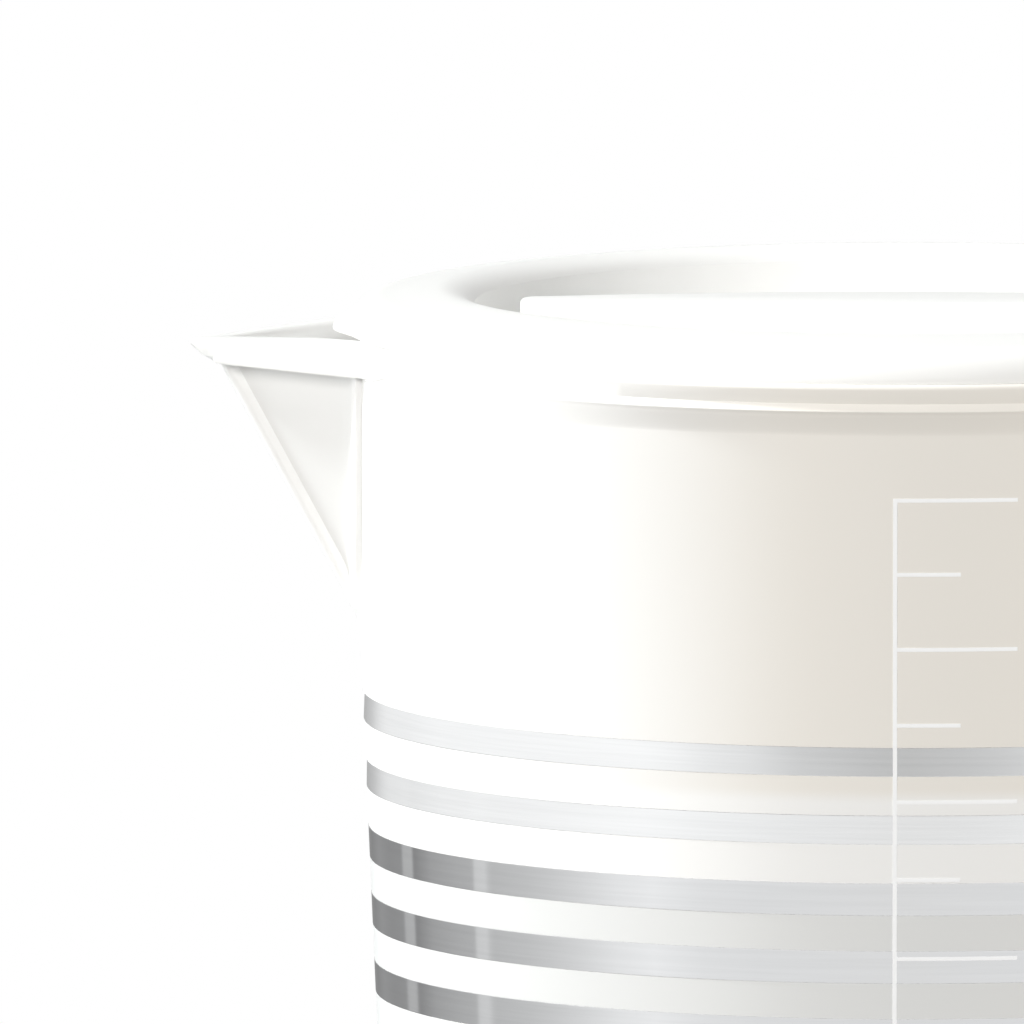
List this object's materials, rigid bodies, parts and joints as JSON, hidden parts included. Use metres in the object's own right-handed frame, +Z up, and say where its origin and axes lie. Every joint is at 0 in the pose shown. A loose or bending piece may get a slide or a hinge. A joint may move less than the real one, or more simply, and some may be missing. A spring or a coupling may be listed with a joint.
{
  "type": "measuring jug",
  "caption": "Tapered white measuring jug with a V spout, thin polished steel hoops, a D handle and a turning plug lid with a recessed grip bar.",
  "frame": {"origin": "middle of the foot's flat resting face, on the jug's axis", "axes": "+Z up along the jug's axis, the spout points to -X and the handle to +X"},
  "size_m": [0.1569, 0.102, 0.1819],
  "materials": {
    "white_plastic": "glossy warm white moulded plastic",
    "polished_steel": "polished stainless steel sheet",
    "screw_steel": "plain steel",
    "silicone": "matt translucent silicone"
  },
  "bodies": {
    "jug": {"jug_body": "white_plastic", "hoop_01": "polished_steel", "hoop_02": "polished_steel", "hoop_03": "polished_steel", "hoop_04": "polished_steel", "hoop_05": "polished_steel", "hoop_06": "polished_steel", "hoop_07": "polished_steel", "hoop_08": "polished_steel", "hoop_09": "polished_steel", "hoop_10": "polished_steel", "hoop_11": "polished_steel", "hoop_12": "polished_steel", "hoop_13": "polished_steel", "hoop_14": "polished_steel", "hoop_15": "polished_steel", "hoop_16": "polished_steel", "base_cup": "white_plastic", "foot_pad": "silicone", "handle_frame": "white_plastic", "handle_cover": "white_plastic", "upper_handle_screw": "screw_steel", "lower_handle_screw": "screw_steel"},
    "lid_carrier": {"lid_seal": "silicone"},
    "lid": {"lid_dish": "white_plastic", "lid_grip": "white_plastic"}
  },
  "joints": [
    {"name": "lid_lift", "type": "slide", "parent": "jug", "child": "lid_carrier", "axis": [0, 0, 1], "range_m": [0, 0.05]},
    {"name": "lid_turn", "type": "hinge", "parent": "lid_carrier", "child": "lid", "pos_m": [0, 0, 0.17], "axis": [0, 0, 1], "continuous": true}
  ]
}
